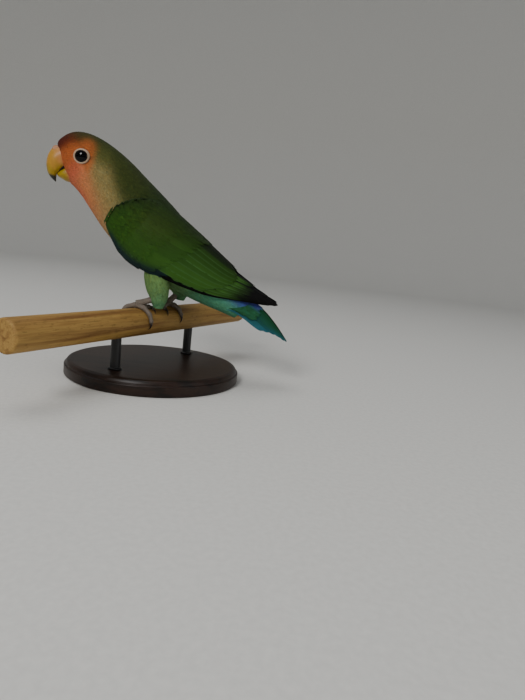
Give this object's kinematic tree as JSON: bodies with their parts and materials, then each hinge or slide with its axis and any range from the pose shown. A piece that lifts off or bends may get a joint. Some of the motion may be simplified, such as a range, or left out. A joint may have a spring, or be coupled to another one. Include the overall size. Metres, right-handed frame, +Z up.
{
  "type": "peach-faced lovebird on a perch, life-size display model",
  "caption": "Small green parrot with a peach face and hooked bill, perched on a cut dowel held above a plain round base by rods; a still, life-size display model.",
  "frame": {"origin": "middle of the stand's flat underside, straight below the perch between the two feet", "axes": "+Z up, the body heads along -X with its left side towards -Y, and Y = 0 is the body's middle plane; the head is turned a little to its left and the perch lies 24.5 degrees off the Y axis"},
  "size_m": [0.1322, 0.1774, 0.1232],
  "materials": {
    "head_feathers": "soft matte feathers, peach on the face and throat, olive on the crown",
    "neck_feathers": "soft matte feathers, buff in front, olive green behind",
    "body_feathers": "soft matte green feathers",
    "wing_feathers": "green coverts, blackish flight feathers with green edges, slight sheen",
    "tail_feathers": "green and turquoise tail feathers under violet-blue coverts, slight sheen",
    "bill": "pale yellowish horn, satin",
    "eye": "wet, nearly black brown",
    "foot_skin": "scaly grey skin with dark claws",
    "perch": "bare turned softwood, worn smooth",
    "stand_base": "dark stained wood, satin",
    "stand_rod": "matte black"
  },
  "bodies": {
    "root": {"stand_base": "stand_base", "stand_rod_near": "stand_rod", "stand_rod_far": "stand_rod", "perch": "perch", "head": "head_feathers", "bill_upper": "bill", "bill_lower": "bill", "eye_left": "eye", "eye_right": "eye", "neck": "neck_feathers", "torso": "body_feathers", "wing_left": "wing_feathers", "wing_right": "wing_feathers", "thigh_left": "body_feathers", "thigh_right": "body_feathers", "foot_left": "foot_skin", "foot_right": "foot_skin", "tail": "tail_feathers"}
  },
  "joints": []
}
